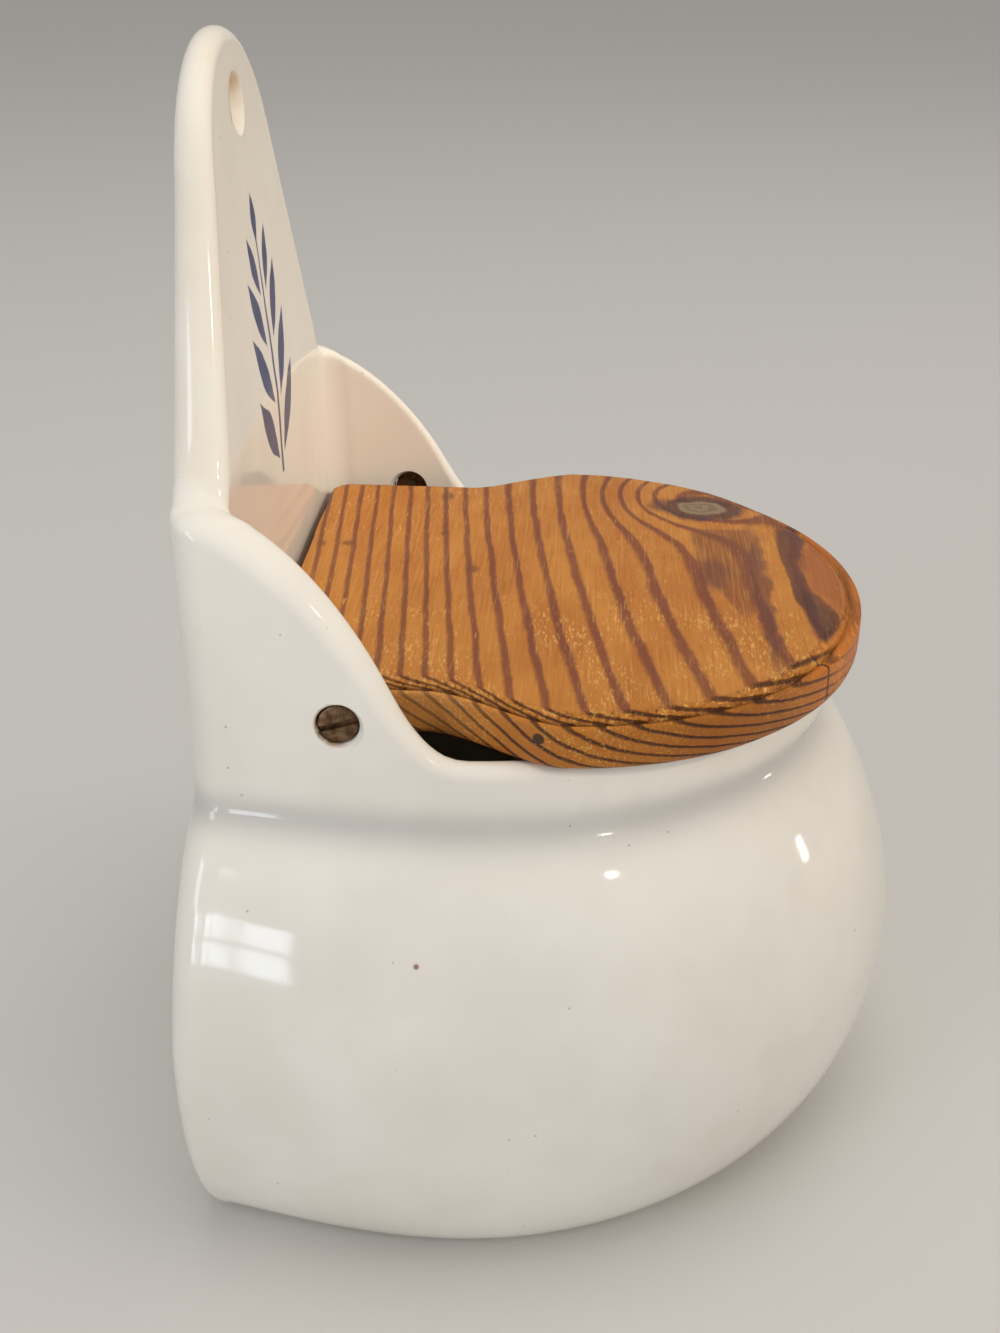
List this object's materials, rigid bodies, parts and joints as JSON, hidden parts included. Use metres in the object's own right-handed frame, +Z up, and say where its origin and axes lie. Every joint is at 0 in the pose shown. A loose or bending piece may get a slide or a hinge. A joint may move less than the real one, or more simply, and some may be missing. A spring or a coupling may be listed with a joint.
{
  "type": "wall salt box",
  "caption": "Glazed ceramic wall salt box with a bulging bowl, a tall back plate with a hanging hole, and a hinged round-fronted wooden lid.",
  "frame": {"origin": "middle of the footprint's bounding box, on the plane of the foot", "axes": "+Z up, front of the bowl towards -Y, back plate towards +Y, left-right symmetry plane at x = 0"},
  "size_m": [0.2054, 0.1736, 0.2651],
  "materials": {
    "glaze": "gloss",
    "pine": "satin",
    "screw": "satin"
  },
  "bodies": {
    "pot": {"ceramic_body": "glaze"},
    "lid": {"lid": "pine", "left_hinge_screw": "screw", "right_hinge_screw": "screw"}
  },
  "joints": [
    {"name": "lid_hinge", "type": "hinge", "parent": "pot", "child": "lid", "pos_m": [0, 0.04775, 0.1339], "axis": [-1, 0, 0], "range_deg": [0, 95]}
  ]
}
